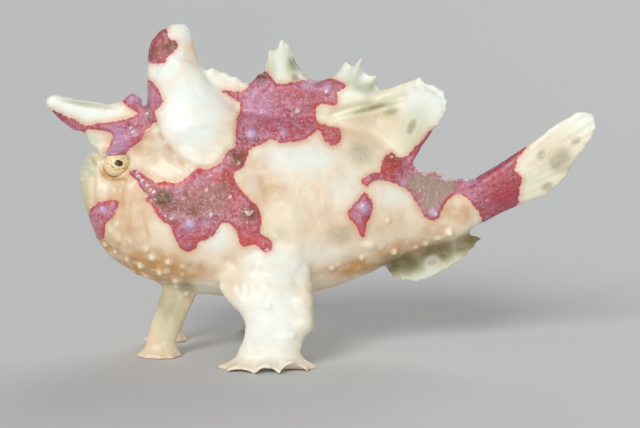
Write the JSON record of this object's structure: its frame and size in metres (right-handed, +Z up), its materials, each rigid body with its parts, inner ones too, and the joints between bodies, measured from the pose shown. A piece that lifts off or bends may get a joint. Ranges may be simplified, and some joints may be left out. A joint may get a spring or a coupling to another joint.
{
  "type": "frogfish",
  "caption": "Still, life-size warty frogfish standing on its paired fins, cream white with red and pink patches.",
  "frame": {"origin": "on the floor, below the centre of the fish's box", "axes": "-X towards the mouth, -Y towards the fish's left side, +Z up; the soles of the paired fins lie at z = 0"},
  "size_m": [0.1036, 0.0424, 0.062],
  "materials": {
    "skin": "moist, satin",
    "fin": "moist, satin",
    "lure": "moist, satin",
    "eye": "glossy"
  },
  "bodies": {
    "root": {"head": "skin", "lower_jaw": "skin", "trunk": "skin", "tail_stalk": "skin", "second_dorsal_spine": "skin", "third_dorsal_spine": "skin", "dorsal_fin": "fin", "anal_fin": "fin", "caudal_fin": "fin", "pectoral_arm_left": "fin", "pectoral_arm_right": "fin", "pectoral_foot_left": "fin", "pectoral_foot_right": "fin", "pelvic_fin_left": "fin", "pelvic_fin_right": "fin", "illicium": "lure", "eye_left": "eye", "eye_right": "eye"}
  },
  "joints": []
}
